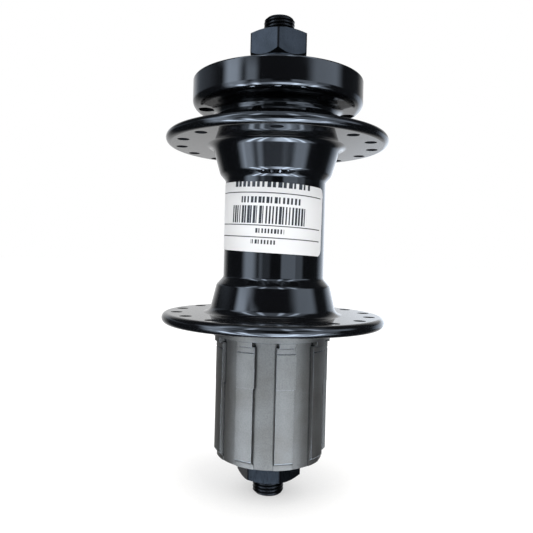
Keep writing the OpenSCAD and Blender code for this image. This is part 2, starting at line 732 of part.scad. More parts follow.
module freehub_body() {
    block_z = valley_top_z - block_h;
    step_z = valley_top_z - ridge_step_at;
    lock_mouth_z = body_end_z + lockring_chamfer;
    shoulder_z = pawl_mid_z + ratchet_w / 2;
    shoulder_end_z = pawl_mid_z - ratchet_w / 2;
    color("#84898f") difference() {
        union() {
            translate([0, 0, valley_top_z]) cylinder(r = collar_r, h = collar_l);
            translate([0, 0, body_end_z]) cylinder(r = valley_r, h = valley_top_z + cut - body_end_z);
            translate([0, 0, block_z])
                linear_extrude(block_h + cut)
                    spline_section(collar_r - block_sink, ridge_w - 2 * relief_w, 0);
            translate([0, 0, step_z]) linear_extrude(block_z - step_z) spline_section(ridge_r, ridge_w, 0);
            intersection() {
                translate([0, 0, ridge_end_z])
                    linear_extrude(step_z - ridge_end_z + cut)
                        spline_section(ridge_r - ridge_relief, ridge_w, ridge_step_w);
                turned() polygon([[0, ridge_end_z], [ridge_r - ridge_chamfer, ridge_end_z],
                                  [ridge_r, ridge_end_z + ridge_chamfer],
                                  [ridge_r, step_z + 2 * cut], [0, step_z + 2 * cut]]);
            }
            translate([0, 0, body_end_z])
                linear_extrude(end_ring_l) spline_section(end_ring_r, ridge_w, 0);
        }
        turned() {
            band(0, body_bore_r, inner_row_z, body_start_z + cut);
            translate([small_pitch_r, inner_row_z]) circle(small_race_r);
            band(0, shoulder_r, shoulder_z, inner_row_z);
            band(0, shoulder_r, outer_row_z, shoulder_end_z);
            translate([small_pitch_r, outer_row_z]) circle(small_race_r);
            band(0, body_bore_r, body_end_z + lockring_l, outer_row_z);
            band(0, lockring_r, body_end_z - cut, body_end_z + lockring_l);
            polygon([[0, body_end_z - cut], [lockring_r + lockring_chamfer + cut, body_end_z - cut],
                     [lockring_r, lock_mouth_z], [0, lock_mouth_z]]);
            band(ridge_r - groove_depth, ridge_r + cut, valley_top_z - groove_at - groove_w,
                 valley_top_z - groove_at);
        }
        translate([0, 0, shoulder_end_z]) linear_extrude(shoulder_z - shoulder_end_z) ratchet_section();
    }
}

module freehub_seal() color("#1b1b1c")
    turned() band(core_flange_r + seal_gap, body_bore_r - seat_gap, body_start_z - seal_sink - seal_t,
                  body_start_z - seal_sink);

module disc_side_balls() color("#b9bcc0") ball_row(ball_count, ball_pitch_r, ball_r, disc_ball_z);

module drive_side_balls() color("#b9bcc0") ball_row(ball_count, ball_pitch_r, ball_r, drive_ball_z);

module inner_row_balls() color("#b9bcc0")
    ball_row(small_ball_count, small_pitch_r, small_r, inner_row_z);

module outer_row_balls() color("#b9bcc0")
    ball_row(small_ball_count, small_pitch_r, small_r, outer_row_z);

axle();
disc_cone();
disc_cone_boot();
disc_washer();
disc_spacer();
disc_locknut();
drive_cone();
drive_washer();
drive_spacer();
drive_locknut();
hub_shell();
disc_bearing_cup();
disc_dust_cap();
freehub_fixing_bolt();
freehub_core();
race_shim();
drive_bearing_cup();
drive_dust_cap();
pawl_spring();
freehub_body();
freehub_seal();
pawl_a();
pawl_b();
pawl_c();
disc_side_balls();
drive_side_balls();
inner_row_balls();
outer_row_balls();
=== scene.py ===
"""Rear bicycle hub for a disc brake and a splined cassette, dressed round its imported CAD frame.

The part's own frame is used throughout: +Z runs along the axle to the disc side, and -Y faces the
viewer of the photograph. Sizes are in millimetres and turned to metres where meshes are made.
"""

import logging
import math
from dataclasses import dataclass
from enum import Enum

import bpy
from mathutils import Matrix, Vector


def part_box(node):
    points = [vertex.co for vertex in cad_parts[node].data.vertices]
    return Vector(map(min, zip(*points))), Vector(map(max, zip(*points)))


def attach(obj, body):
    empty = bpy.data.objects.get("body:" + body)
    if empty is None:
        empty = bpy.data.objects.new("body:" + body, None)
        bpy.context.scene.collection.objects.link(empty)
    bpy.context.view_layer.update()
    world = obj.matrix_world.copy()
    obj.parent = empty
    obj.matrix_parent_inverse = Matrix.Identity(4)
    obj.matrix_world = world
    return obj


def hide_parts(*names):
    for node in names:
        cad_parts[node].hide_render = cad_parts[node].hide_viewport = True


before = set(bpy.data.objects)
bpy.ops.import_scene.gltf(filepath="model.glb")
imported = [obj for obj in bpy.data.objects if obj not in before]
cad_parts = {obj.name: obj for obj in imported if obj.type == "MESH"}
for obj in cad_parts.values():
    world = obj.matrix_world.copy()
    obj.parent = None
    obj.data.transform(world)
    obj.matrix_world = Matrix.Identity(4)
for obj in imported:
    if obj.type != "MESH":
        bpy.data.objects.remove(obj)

MM = 0.001
# Distance in metres within which a merge takes two points for one, and a cut a point for its own
FINE_GAP = 1e-7
# The same for meshes whose points are rounded, such as the CAD's and the screwed thread
COARSE_GAP = 1e-6
# Rays by which a shader judges how open a place is
OPEN_SKY_RAYS = 8
# Places of a Mix node's sockets, which bear the same names for numbers and for colours
NUMBER_A, NUMBER_B, NUMBER_OUT = 2, 3, 0
COLOUR_A, COLOUR_B, COLOUR_OUT = 6, 7, 2

LOG = logging.getLogger("hub")
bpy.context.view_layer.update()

Object = bpy.types.Object
Socket = bpy.types.NodeSocket
Tree = bpy.types.NodeTree
Point = tuple[float, float]
Triple = tuple[float, float, float]
# A value, the limits that it crosses, and the number from which its range climbs to 1
Range = tuple[Socket, float, float, float]
# First and last azimuth of a soft box in degrees, its brightness, and half the width of its ends
Panel = tuple[float, float, float, float]


class Cut(Enum):
    """What a tool body does to the piece that it meets."""

    REMOVE = "DIFFERENCE"
    KEEP = "INTERSECT"


class Wall(Enum):
    """Material slot of a face, on a piece that is turned first and drilled afterwards."""

    TURNED = 0
    DRILLED = 1


class End(Enum):
    """End of a CAD node's box."""

    LOW = 0
    HIGH = 1


def station(node: str, end: End) -> float:
    """Place of a CAD node's lowest or highest point along the axle, in mm to four decimals."""
    return round(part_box(node)[end.value][2] / MM, 4)


# Modelling


def select_only(*objects: Object) -> None:
    """Deselects everything in object mode, then selects some pieces.

    Args:
        *objects: the pieces, of which the last becomes the active one.
    """
    if bpy.context.object is not None and bpy.context.object.mode != "OBJECT":
        bpy.ops.object.mode_set(mode="OBJECT")
    bpy.ops.object.select_all(action="DESELECT")
    for obj in objects:
        obj.select_set(True)
        bpy.context.view_layer.objects.active = obj


def edit(obj: Object) -> None:
    """Opens a piece in edit mode with all of it selected.

    Args:
        obj: the piece.
    """
    select_only(obj)
    bpy.ops.object.mode_set(mode="EDIT")
    bpy.ops.mesh.select_all(action="SELECT")


def close_and_orient(gap: float) -> None:
    """Merges what coincides and turns every face outwards, in edit mode.

    Args:
        gap: distance in metres within which points are merged.
    """
    bpy.ops.mesh.select_all(action="SELECT")
    bpy.ops.mesh.remove_doubles(threshold=gap)
    bpy.ops.mesh.select_all(action="SELECT")
    bpy.ops.mesh.normals_make_consistent(inside=False)


def apply_modifier(obj: Object, kind: str, **settings: object) -> None:
    """Adds a modifier with its settings and applies it.

    Args:
        obj: the piece it works on.
        kind: Blender's name of the modifier.
        **settings: its settings.
    """
    select_only(obj)
    modifier = obj.modifiers.new(kind.title(), kind)
    for name, value in settings.items():
        setattr(modifier, name, value)
    bpy.ops.object.modifier_apply(modifier=modifier.name)


def combine(obj: Object, tool: Object, how: Cut) -> None:
    """Cuts a piece with a tool body, or keeps what lies in it, and removes the tool."""
    apply_modifier(obj, "BOOLEAN", object=tool, operation=how.value, solver="EXACT")
    bpy.data.objects.remove(tool)


def draw_line(name: str, points: list[Point]) -> Object:
    """Draws a line of points in the plane of the axle and leaves it open in edit mode.

    Args:
        name: name of the new object.
        points: its points as (radius, station) in mm.

    Returns:
        The object with its line.
    """
    bpy.ops.object.select_all(action="DESELECT")
    bpy.ops.mesh.primitive_plane_add(size=MM)
    obj = bpy.context.object
    obj.name = obj.data.name = name
    bpy.ops.object.mode_set(mode="EDIT")
    bpy.ops.mesh.merge(type="CENTER")
    bpy.ops.transform.translate(value=(points[0][0] * MM, 0, points[0][1] * MM))
    for (r0, z0), (r1, z1) in zip(points, points[1:]):
        bpy.ops.mesh.extrude_region_move(
            TRANSFORM_OT_translate={"value": ((r1 - r0) * MM, 0, (z1 - z0) * MM)})
    return obj


def lathe(name: str, profile: list[Point], steps: int) -> Object:
    """Turns a closed profile about the axle, as on a lathe.

    Args:
        name: name of the new piece.
        profile: corners as (radius, station) in mm, in order round the section.
        steps: number of steps round the axle.

    Returns:
        The turned piece, with its faces outwards and no loose edge left along the axle.
    """
    obj = draw_line(name, profile + profile[:1])
    bpy.ops.mesh.select_all(action="SELECT")
    bpy.ops.mesh.remove_doubles(threshold=FINE_GAP)
    bpy.ops.mesh.select_all(action="SELECT")
    bpy.ops.mesh.spin(steps=steps, angle=math.tau, center=(0, 0, 0), axis=(0, 0, 1))
    close_and_orient(FINE_GAP)
    bpy.ops.mesh.select_all(action="SELECT")
    bpy.ops.mesh.delete_loose()
    bpy.ops.object.mode_set(mode="OBJECT")
    return obj


def arc(centre: Point, radius: float, start: float, end: float, faces: int) -> list[Point]:
    """Points along an arc of a profile, from one angle to another in degrees."""
    turns = [math.radians(start + (end - start) * k / faces) for k in range(faces + 1)]
    return [(centre[0] + radius * math.cos(t), centre[1] + radius * math.sin(t)) for t in turns]


def place(obj: Object, offset: Triple = (0, 0, 0), turn: float = 0) -> None:
    """Moves a piece's mesh and then turns it about the axle, while its origin stays.

    Args:
        obj: the piece.
        offset: how far it moves, in mm.
        turn: how far it turns, in degrees.
    """
    select_only(obj)
    obj.location = [v * MM for v in offset]
    bpy.ops.object.transform_apply(location=True, rotation=True, scale=True)
    obj.rotation_euler = (0, 0, math.radians(turn))
    bpy.ops.object.transform_apply(location=True, rotation=True, scale=True)


def copy_of(obj: Object, name: str) -> Object:
    """Copies a piece with its own mesh, free of the frame.

    Args:
        obj: the piece.
        name: name of the copy.

    Returns:
        The copy.
    """
    twin = bpy.data.objects.new(name, obj.data.copy())
    bpy.context.scene.collection.objects.link(twin)
    return twin


def joined(pieces: list[Object], name: str) -> Object:
    """Joins several bodies into one object.

    Args:
        pieces: the bodies.
        name: name of the whole.

    Returns:
        The whole.
    """
    select_only(*pieces)
    bpy.ops.object.join()
    whole = bpy.context.object
    whole.name = whole.data.name = name
    return whole


def two_slots(obj: Object, wall: Wall) -> Object:
    """Gives a body an empty material slot for each kind of wall, and all its faces one kind.

    Args:
        obj: the body.
        wall: the kind of its faces.

    Returns:
        The same body.
    """
    for _ in Wall:
        obj.data.materials.append(None)
    for polygon in obj.data.polygons:
        polygon.material_index = wall.value
    return obj


def soften(obj: Object, width: float, segments: int = 2, angle: float = 28) -> None:
    """Breaks the sharp edges of a piece, as a tumbler or a file would.

    Args:
        obj: the piece.
        width: width of the broken edge in mm.
        segments: number of faces across it.
        angle: edges sharper than this, in degrees, are broken.
    """
    apply_modifier(obj, "BEVEL", width=width * MM, segments=segments, limit_method="ANGLE",
                   angle_limit=math.radians(angle), use_clamp_overlap=True,
                   miter_outer="MITER_ARC")


def smooth(obj: Object, angle: float = 30) -> None:
    """Shades a piece smooth, except over edges sharper than an angle in degrees."""
    select_only(obj)
    bpy.ops.object.shade_smooth_by_angle(angle=math.radians(angle))


def dressed_copy(node: str, edge: float, flat_angle: float = 0.3) -> Object:
    """Makes a merged copy of a CAD node with its edges broken, which stands for the node.

    Args:
        node: name of the CAD node.
        edge: width of the broken edges in mm.
        flat_angle: faces that meet flatter than this, in degrees, become one.

    Returns:
        The new piece.
    """
    piece = copy_of(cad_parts[node], node + "_finished")
    edit(piece)
    close_and_orient(COARSE_GAP)
    bpy.ops.mesh.dissolve_limited(angle_limit=math.radians(flat_angle))
    bpy.ops.object.mode_set(mode="OBJECT")
    piece.data.materials.clear()
    soften(piece, edge)
    smooth(piece)
    apply_modifier(piece, "WEIGHTED_NORMAL", keep_sharp=True)
    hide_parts(node)
    return piece


# Finishes


def to_linear(code: str) -> tuple[float, float, float, float]:
    """Turns an sRGB hex colour into a linear one."""
    parts = [int(code[k:k + 2], 16) / 255 for k in (1, 3, 5)]
    return (*[v / 12.92 if v <= 0.04045 else ((v + 0.055) / 1.055) ** 2.4 for v in parts], 1.0)


def add_node(tree: Tree, kind: str, inputs: dict[str | int, object] | None = None,
             **settings: object) -> bpy.types.Node:
    """Adds a node with its settings, values and links.

    Args:
        tree: the node tree.
        kind: type name of the node.
        inputs: value, or output socket to link, for each input.
        **settings: properties of the node itself.

    Returns:
        The new node.
    """
    node = tree.nodes.new(kind)
    for name, value in settings.items():
        setattr(node, name, value)
    for key, value in (inputs or {}).items():
        if isinstance(value, Socket):
            tree.links.new(value, node.inputs[key])
        else:
            node.inputs[key].default_value = value
    return node


def product_of(tree: Tree, *ranges: Range) -> Socket:
    """Multiplies ranges, each of which climbs to 1 while its value goes from limit to limit.

    Args:
        tree: the node tree.
        *ranges: for each, the value, its two limits, and the number at the first limit.

    Returns:
        The product.
    """
    total: Socket | float = 1.0
    for value, first, last, start in ranges:
        share = add_node(tree, "ShaderNodeMapRange", {
            "Value": value, "From Min": first, "From Max": last, "To Min": start}).outputs[0]
        total = add_node(tree, "ShaderNodeMath", {0: total, 1: share},
                         operation="MULTIPLY").outputs[0]
    return total


def inside(tree: Tree, *limits: tuple[Socket, float, float]) -> Socket:
    """Tests whether values lie between their limits.

    Args:
        tree: the node tree.
        *limits: for each test, the value and its lower and upper limit.

    Returns:
        1 where all of them do, else 0.
    """
    total: Socket | float = 1.0
    for value, low, high in limits:
        for test, limit in (("GREATER_THAN", low), ("LESS_THAN", high)):
            passed = add_node(tree, "ShaderNodeMath", {0: value, 1: limit},
                              operation=test).outputs[0]
            total = add_node(tree, "ShaderNodeMath", {0: total, 1: passed},
                             operation="MULTIPLY").outputs[0]
    return total


def off_axis(tree: Tree, place_out: Socket) -> Socket:
    """The part of a place that lies across the axle."""
    return add_node(tree, "ShaderNodeVectorMath", {0: place_out, 1: (1, 1, 0)},
                    operation="MULTIPLY").outputs[0]


@dataclass(frozen=True)
class Finish:
    """An even finish, described by the shader's own sockets."""

    name: str
    colour: str
    metallic: float = 0.0
    roughness: float = 0.5
    coat: float = 0.0
    coat_roughness: float = 0.03
    specular: float = 0.5

    def start(self) -> tuple[bpy.types.Material, Tree, bpy.types.Node]:
        """Makes the material and sets its shader's sockets.

        Returns:
            The material, its node tree and its shader.
        """
        material = bpy.data.materials.new(self.name)
        material.use_nodes = True
        tree = material.node_tree
        shader = tree.nodes["Principled BSDF"]
        for key, value in (("Base Color", to_linear(self.colour)), ("Metallic", self.metallic),
                           ("Roughness", self.roughness), ("Coat Weight", self.coat),
                           ("Coat Roughness", self.coat_roughness),
                           ("Specular IOR Level", self.specular)):
            shader.inputs[key].default_value = value
        return material, tree, shader

    def build(self) -> bpy.types.Material:
        """Makes the material."""
        return self.start()[0]


@dataclass(frozen=True)
class GrainedFinish(Finish):
    """A finish with stains and a fine grain in it, sizes in mm.

    The stretch draws the grain out along Z. A real grain that is too fine to show in the render is
    given as coarse as it needs to show.
    """

    stain: str = "#000000"
    stain_mm: float = 9.0
    stain_span: Point = (0.35, 0.7)
    grain_mm: float = 0.35
    grain_span: Point = (0.3, 0.7)
    stretch: float = 1.0
    relief: float = 0.1
    relief_depth: float = 0.3
    speckle: float = 0.1
    gloss_swing: float = 0.07

    def build(self) -> bpy.types.Material:
        """Makes the material, with its stains, speckle, gloss and relief.

        Returns:
            The material.
        """
        material, tree, shader = self.start()
        place_out = add_node(tree, "ShaderNodeTexCoord").outputs["Object"]
        drawn = add_node(tree, "ShaderNodeMapping", {
            "Vector": place_out, "Scale": (1, 1, 1 / self.stretch)}).outputs[0]
        cloud = add_node(tree, "ShaderNodeTexNoise", {
            "Vector": place_out, "Scale": 1 / (self.stain_mm * MM), "Detail": 3.0}).outputs[0]
        grain = add_node(tree, "ShaderNodeTexNoise", {
            "Vector": drawn, "Scale": 1 / (self.grain_mm * MM), "Detail": 2.0}).outputs[0]
        stained = add_node(tree, "ShaderNodeMix", {
            "Factor": product_of(tree, (cloud, *self.stain_span, 0.0)),
            COLOUR_A: to_linear(self.colour), COLOUR_B: to_linear(self.stain)},
            data_type="RGBA").outputs[COLOUR_OUT]
        grain_from, grain_to = self.grain_span
        tint, rough = [add_node(tree, "ShaderNodeMapRange", {
            "Value": grain, "From Min": grain_from, "From Max": grain_to,
            "To Min": middle - swing, "To Max": middle + swing}).outputs[0]
            for middle, swing in ((1, self.speckle), (self.roughness, self.gloss_swing))]
        speckled = add_node(tree, "ShaderNodeVectorMath", {
            0: self.ground(tree, place_out, stained), "Scale": tint},
            operation="SCALE").outputs[0]
        bump = add_node(tree, "ShaderNodeBump", {
            "Height": grain, "Distance": self.grain_mm * MM * self.relief_depth,
            "Strength": self.relief})
        tree.links.new(speckled, shader.inputs["Base Color"])
        tree.links.new(rough, shader.inputs["Roughness"])
        tree.links.new(bump.outputs[0], shader.inputs["Normal"])
        return material

    def ground(self, tree: Tree, place_out: Socket, colour: Socket) -> Socket:
        """The colour under the grain, which a finer finish may change by place."""
        return colour


@dataclass(frozen=True)
class CornerReflectionFinish(GrainedFinish):
    """A grained finish for hexagons about the axle, sizes in mm.

    A painted dark reflection blackens them along their corners.
    """

    corner_r: float = 9.63
    fade: float = 0.07
    # Colour of the painted dark reflection along the corners
    corner: str = "#030304"

    def ground(self, tree: Tree, place_out: Socket, colour: Socket) -> Socket:
        """Blackens what lies farther from the axle than the corners' foot: a painted dark
        reflection.

        Args:
            tree: the material's node tree.
            place_out: the place that is looked up, in the piece's own coordinates.
            colour: the colour with its stains.

        Returns:
            The changed colour.
        """
        reach = add_node(tree, "ShaderNodeVectorMath", {0: off_axis(tree, place_out)},
                         operation="LENGTH").outputs["Value"]
        first, last = (self.corner_r - self.fade) * MM, (self.corner_r + self.fade) * MM
        return add_node(tree, "ShaderNodeMix", {
            "Factor": product_of(tree, (reach, first, last, 0.0)),
            COLOUR_A: colour, COLOUR_B: to_linear(self.corner)},
            data_type="RGBA").outputs[COLOUR_OUT]


@dataclass(frozen=True)
class CrownedFinish(GrainedFinish):
    """A grained finish for a spline, sizes in mm: painted shade on flanks and in corners,
    and a painted highlight along the edges.

    How a face looks is a share: 1 where it looks straight away from the axle, 0 on a flank. How
    open a place is runs from 0 to 1 too. Each pair holds the two limits of such a share.
    """

    valley: float = 0.97
    valley_r: float = 16.3
    crown_r: float = 16.9
    edge_r: float = 17.05
    # Painted shade: the share of the colour that is left on a flank
    flank: float = 0.55
    flank_looks: Point = (0.3, 0.8)
    # Painted shade: the share of the colour that is left where a corner is least open
    recess: float = 0.02
    recess_mm: float = 0.9
    recess_open: Point = (0.55, 0.85)
    # Colour of the painted highlight along the ridges' edges
    edge_highlight: str = "#b2b4b6"
    highlight_looks: Point = (0.62, 0.8)
    crown_looks: Point = (0.985, 0.95)

    def ground(self, tree: Tree, place_out: Socket, colour: Socket) -> Socket:
        """Darkens the valleys, paints shade on the flanks and in the corners, and paints a highlight
        along the ridges' edges.

        Args:
            tree: the material's node tree.
            place_out: the place that is looked up, in the piece's own coordinates.
            colour: the colour with its stains.

        Returns:
            The changed colour.
        """
        flat = off_axis(tree, place_out)
        reach = add_node(tree, "ShaderNodeVectorMath", {0: flat},
                         operation="LENGTH").outputs["Value"]
        outward = add_node(tree, "ShaderNodeVectorMath", {0: flat},
                           operation="NORMALIZE").outputs[0]
        normal = add_node(tree, "ShaderNodeTexCoord").outputs["Normal"]
        looks = add_node(tree, "ShaderNodeVectorMath", {0: outward, 1: normal},
                         operation="DOT_PRODUCT").outputs["Value"]
        openness = add_node(tree, "ShaderNodeAmbientOcclusion", {
            "Distance": self.recess_mm * MM}, samples=OPEN_SKY_RAYS,
            only_local=True).outputs["AO"]
        # Darker valleys, and painted shade on the flanks and in the corners
        shade = product_of(tree, (reach, self.valley_r * MM, self.crown_r * MM, self.valley),
                           (looks, *self.flank_looks, self.flank),
                           (openness, *self.recess_open, self.recess))
        # Painted highlight along the ridges' edges
        edge = product_of(tree, (looks, *self.highlight_looks, 0.0), (looks, *self.crown_looks, 0.0),
                          (reach, self.crown_r * MM, self.edge_r * MM, 0.0))
        shaded = add_node(tree, "ShaderNodeVectorMath", {0: colour, "Scale": shade},
                          operation="SCALE").outputs[0]
        return add_node(tree, "ShaderNodeMix", {
            "Factor": edge, COLOUR_A: shaded, COLOUR_B: to_linear(self.edge_highlight)},
            data_type="RGBA").outputs[COLOUR_OUT]


# Polished aluminium, black anodised: a deep black with a clear mirror gloss over it
BLACK_ANODISED = Finish("black_anodised_aluminium", "#040405", coat=1.0, specular=0.04)
# Turned steel, black oxide: blue-black satin, with a painted dark reflection along the corners,
# and faint drawing marks along the flats, which are drawn coarser than the real ones so they show
BLACK_OXIDE = CornerReflectionFinish("black_oxide_steel", "#2c2f33", metallic=0.9, roughness=0.32,
                             stain="#232629", stain_mm=6, grain_mm=0.16, stretch=14, relief=0.08,
                             speckle=0.12)
# Rolled thread in black oxide: nearly black and oily
BLACK_THREAD = Finish("black_oxide_thread", "#1a1b1d", metallic=0.7, roughness=0.22)
# Ground bearing steel: bright, faintly soft
GROUND_STEEL = Finish("ground_bearing_steel", "#a6a8aa", metallic=1.0, roughness=0.22)
# Hardened and polished balls: a clean mirror
POLISHED_STEEL = Finish("polished_ball_steel", "#c9cacc", metallic=1.0, roughness=0.06)
# Zinc plate on small steel pieces: pale and slightly dull
ZINC_PLATE = Finish("zinc_plated_steel", "#b3b5b8", metallic=1.0, roughness=0.33)
# Pressed sheet, black enamel: dark with a soft sheen
BLACK_ENAMEL = Finish("black_enamelled_sheet", "#0d0d0e", roughness=0.3, coat=0.4,
                      coat_roughness=0.1)
# Nitrile rubber: matt black
RUBBER = Finish("nitrile_rubber", "#131313", roughness=0.7)
# Cast steel, blasted: satin grey, with painted shade on flanks and in corners, and a painted
# highlight along the ridges' edges
CAST_STEEL = CrownedFinish("cast_freehub_steel", "#6d6963", metallic=0.85, roughness=0.47,
                           stain="#605b54", stain_mm=12, grain_mm=0.3, relief=0.35, speckle=0.16)
# Anodised wall of a drilled hole, left by the drill as it is: matt black
DRILLED_BLACK = Finish("black_anodised_bore", "#060607", roughness=0.65, specular=0.08)


def dress(obj: Object, material: bpy.types.Material) -> None:
    """Puts a material in every slot of a piece.

    Args:
        obj: the piece.
        material: the material.
    """
    if not obj.material_slots:
        obj.data.materials.append(material)
    for slot in obj.material_slots:
        slot.material = material


def dress_nodes(plan: dict[Finish, tuple[str, ...]]) -> None:
    """Puts finishes on CAD nodes that are shown in their own shape.

    Args:
        plan: names of the nodes that take each finish.
    """
    for finish, names in plan.items():
        material = finish.build()
        for name in names:
            dress(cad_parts[name], material)


# Sub-assemblies


@dataclass(frozen=True)
class HoleRing:
    """A ring of through holes about the axle, widened at both mouths, sizes in mm.

    The sink is by how much a mouth is wider than its hole. The pins that cut the ring stand out of
    the piece by the overrun.
    """

    name: str
    circle_r: float
    hole_r: float
    sink: float
    sink_depth: float
    overrun: float
    count: int
    steps: int

    def cutter(self, low: float, high: float, turn: float) -> Object:
        """Makes the pins of all the holes as one tool body.

        Args:
            low: station of the lower face of the wall that is drilled.
            high: station of its upper face.
            turn: angle of the first hole from the front, in degrees.

        Returns:
            The tool body, which leaves drilled walls.
        """
        wide_r = self.hole_r + self.sink * (1 + self.overrun / self.sink_depth)
        pin = lathe(self.name, [
            (0, low - self.overrun), (wide_r, low - self.overrun),
            (self.hole_r, low + self.sink_depth), (self.hole_r, high - self.sink_depth),
            (wide_r, high + self.overrun), (0, high + self.overrun)], self.steps)
        place(pin, (0, -self.circle_r, 0))
        pins = [copy_of(pin, self.name) for _ in range(self.count)]
        for k, twin in enumerate(pins):
            place(twin, turn=turn + k * 360 / self.count)
        bpy.data.objects.remove(pin)
        return two_slots(joined(pins, self.name), Wall.DRILLED)


@dataclass
class Shell:
    """The black hub shell with its two spoke flanges and rotor mount, sizes in mm.

    A cone is its radius at the flange, its radius at the small end, and its length. The knee is the
    rounded edge at that end, and it falls by a share of itself. The foot is the rounding against the
    tube. Both turn through a point that is eased off the sharp corner. The steps round the axle
    don't divide by the number of holes, which keeps the shell's edges off the edges of the pins.
    """

    rotor_z: float = station("hub_shell", End.HIGH)
    mount_r: float = 26.1
    mount_under_z: float = 44.1
    mount_lip: float = 2.6
    mouth_r: float = 13.825
    mouth_chamfer: float = 1.2
    neck_r: float = 18.5
    neck_fillet: float = 2.0
    neck_cove: float = 5.6
    flange_r: float = 33.9
    flange_t: float = 3.2
    disc_flange_z: float = 36.4
    drive_flange_z: float = station("hub_shell", End.LOW)
    disc_cone: Triple = (19.7, 17.1, 8.9)
    drive_cone: Triple = (19.5, 17.4, 8.8)
    root_fillet: float = 2.7
    knee: float = 0.5
    knee_fall: float = 0.75
    foot: float = 0.45
    easing: float = 0.12
    tube_r: float = 15.4
    tube_bore_r: float = 11.5
    cup_seat_z: float = station("disc_bearing_cup", End.LOW)
    bolt_bore_r: float = 7.03
    bolt_bore_top_z: float = -6.0
    plug_r: float = 11.03
    plug_top_z: float = -17.3
    edge: float = 0.5
    edge_start: float = 70.0
    edge_faces: int = 3
    fillet_faces: int = 8
    root_faces: int = 10
    cove_faces: int = 14
    rim_faces: int = 20
    steps: int = 241
    spoke_holes: HoleRing = HoleRing("spoke_cutter", circle_r=29.4, hole_r=1.5, sink=0.3,
                                     sink_depth=0.9, overrun=0.6, count=16, steps=20)
    rotor_holes: HoleRing = HoleRing("bolt_cutter", circle_r=22.0, hole_r=2.1, sink=0.3,
                                     sink_depth=0.3, overrun=0.25, count=6, steps=28)
    rotor_turn: float = 37.5

    @property
    def disc_inner_z(self) -> float:
        """Station of the disc flange's face towards the tube."""
        return self.disc_flange_z - self.flange_t

    @property
    def drive_inner_z(self) -> float:
        """Station of the drive flange's face towards the tube."""
        return self.drive_flange_z + self.flange_t

    def cone_side(self, cone: Triple, face_z: float, up: int) -> list[Point]:
        """Draws the profile from a flange's inner face down a cone to the tube.

        Args:
            cone: radius at the flange, radius at the small end, and length.
            face_z: station of the flange's inner face.
            up: +1 where the cone runs towards +Z from its flange, -1 where it runs down.

        Returns:
            Points from the face to the tube, the fillet at the root first.
        """
        root_r, tip_r, length = cone
        slope = (root_r - tip_r) / length
        lean = math.hypot(1, slope)
        centre_r = root_r + self.root_fillet * (lean - slope)
        lean_angle = math.degrees(math.atan(slope))
        root = arc((centre_r, self.root_fillet), self.root_fillet, -90, -180 + lean_angle,
                   self.root_faces)
        tip = [(tip_r + slope * self.knee, length - self.knee), (tip_r - self.easing, length),
               (tip_r - self.knee, length + self.knee * self.knee_fall)]
        step_end = length + tip_r - self.tube_r
        foot = [(self.tube_r + self.foot, step_end - self.foot),
                (self.tube_r + self.easing, step_end), (self.tube_r, step_end + self.knee)]
        return [(r, face_z + up * z) for r, z in root + tip + foot]

    def profile(self) -> list[Point]:
        """Draws the shell's whole section.

        Returns:
            Its corners, down the outside first and then up the hollow.
        """
        rim_r = self.flange_t / 2
        rim_at = self.flange_r - rim_r
        top = self.rotor_z
        outline = [(self.mouth_r + self.mouth_chamfer, top), (self.mount_r - self.edge, top)]
        outline += arc((self.mount_r - self.edge, top - self.edge), self.edge, self.edge_start, 0,
                       self.edge_faces)
        outline += arc((self.mount_r - self.mount_lip, self.mount_under_z + self.mount_lip),
                       self.mount_lip, 0, -90, self.cove_faces)
        outline += arc((self.neck_r + self.neck_fillet, self.mount_under_z - self.neck_fillet),
                       self.neck_fillet, 90, 180, self.fillet_faces)
        outline += arc((self.neck_r + self.neck_cove, self.disc_flange_z + self.neck_cove),
                       self.neck_cove, 180, 270, self.cove_faces)
        outline += arc((rim_at, self.disc_flange_z - rim_r), rim_r, 90, -90, self.rim_faces)
        outline += self.cone_side(self.disc_cone, self.disc_inner_z, -1)
        outline += self.cone_side(self.drive_cone, self.drive_inner_z, 1)[::-1]
        outline += arc((rim_at, self.drive_inner_z - rim_r), rim_r, 90, -90, self.rim_faces)
        outline += [(self.plug_r, self.drive_flange_z), (self.plug_r, self.plug_top_z),
                    (self.bolt_bore_r, self.plug_top_z), (self.bolt_bore_r, self.bolt_bore_top_z),
                    (self.tube_bore_r, self.bolt_bore_top_z), (self.tube_bore_r, self.cup_seat_z),
                    (self.mouth_r, self.cup_seat_z), (self.mouth_r, top - self.mouth_chamfer)]
        return outline

    def build(self) -> list[Object]:
        """Turns the shell, drills it and finishes it.

        Returns:
            The shell, as the only piece.
        """
        shell = two_slots(lathe("shell_finished", self.profile(), self.steps), Wall.TURNED)
        half_pitch = 180 / self.spoke_holes.count
        for holes, low, high, turn in (
                (self.spoke_holes, self.disc_inner_z, self.disc_flange_z, 0),
                (self.spoke_holes, self.drive_flange_z, self.drive_inner_z, half_pitch),
                (self.rotor_holes, self.mount_under_z, self.rotor_z, self.rotor_turn)):
            combine(shell, holes.cutter(low, high, turn), Cut.REMOVE)
        smooth(shell, angle=25)
        apply_modifier(shell, "WEIGHTED_NORMAL", keep_sharp=True)
        dress(shell, BLACK_ANODISED.build())
        shell.material_slots[Wall.DRILLED.value].material = DRILLED_BLACK.build()
        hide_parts("hub_shell")
        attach(shell, "shell")
        return [shell]


